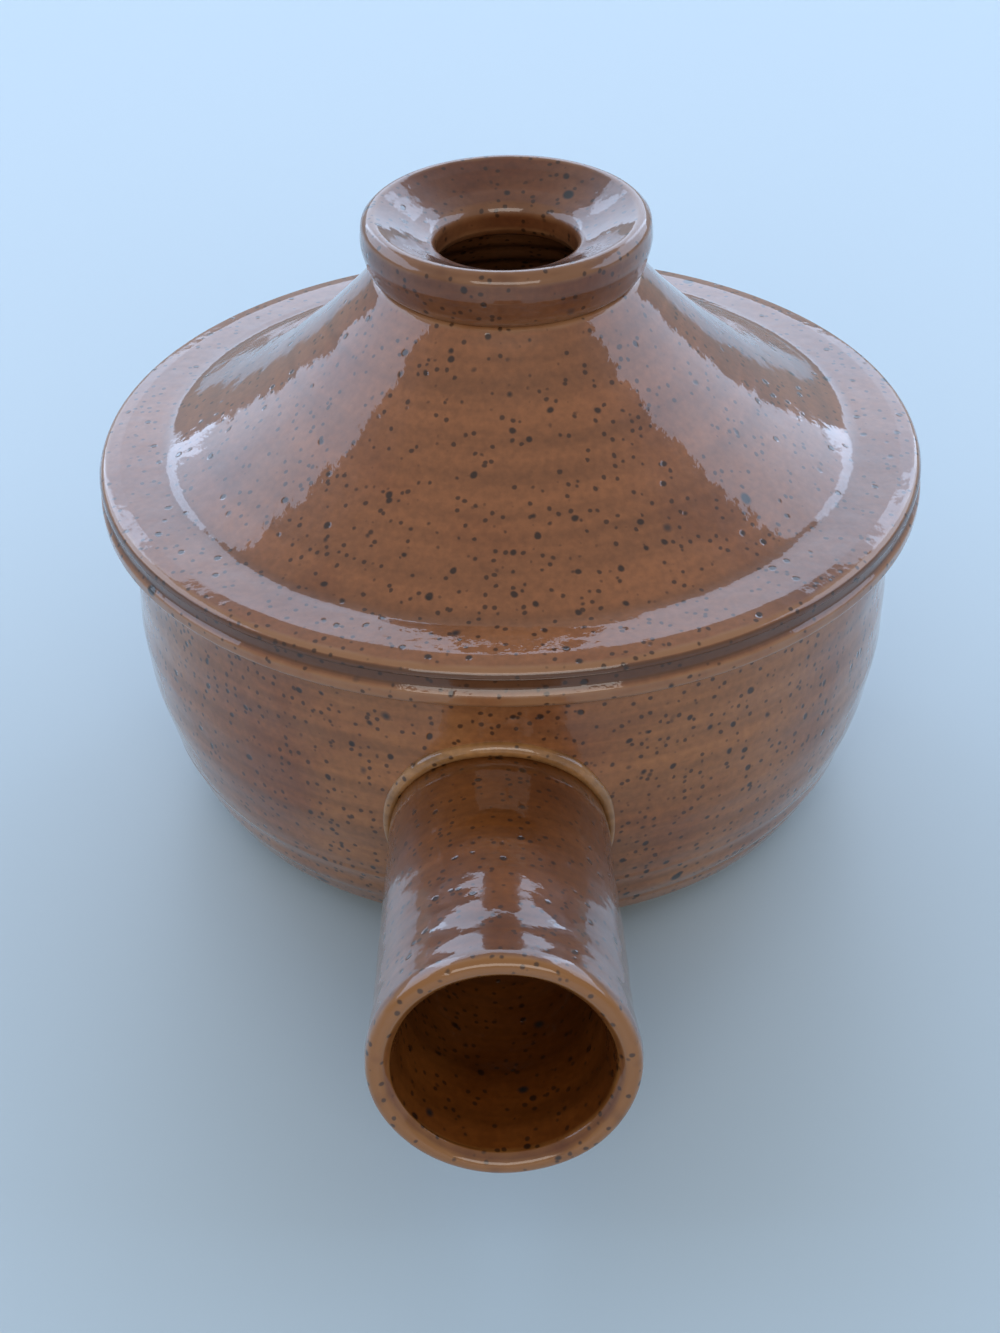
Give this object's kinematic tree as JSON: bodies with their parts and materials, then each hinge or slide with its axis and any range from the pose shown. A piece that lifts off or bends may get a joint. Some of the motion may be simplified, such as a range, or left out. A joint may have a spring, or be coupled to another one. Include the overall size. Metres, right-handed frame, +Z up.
{
  "type": "stoneware egg cooker",
  "caption": "Round lidded stoneware pot with a hollow side handle; the lid lifts off and is vented through its ring knob.",
  "frame": {"origin": "centre of the foot ring's lower face, on the table", "axes": "+Z up along the pot's axis; -Y is the side that the handle points to; +X to the right seen from the handle"},
  "size_m": [0.1344, 0.1845, 0.1025],
  "materials": {
    "bowl_glaze": "glossy clear brown glaze with iron specks and faint throwing rings",
    "lid_glaze": "glossy clear brown glaze with iron specks",
    "knob_glaze": "glossy brown glaze with rust patches where it pools",
    "handle_glaze": "thick glossy amber brown glaze that breaks pale on the lip",
    "collar_glaze": "thin pale glaze over a ridge of clay",
    "bare_stoneware": "unglazed, fine grained and matt"
  },
  "bodies": {
    "pot": {"bowl": "bowl_glaze", "foot_ring": "bare_stoneware", "handle_tube": "handle_glaze", "handle_collar": "collar_glaze"},
    "lid": {"lid": "lid_glaze", "lid_flange": "lid_glaze", "knob_ring": "knob_glaze"}
  },
  "joints": [
    {"name": "lid_lift", "type": "slide", "parent": "pot", "child": "lid", "axis": [0, 0, 1], "range_m": [0, 0.07]}
  ]
}
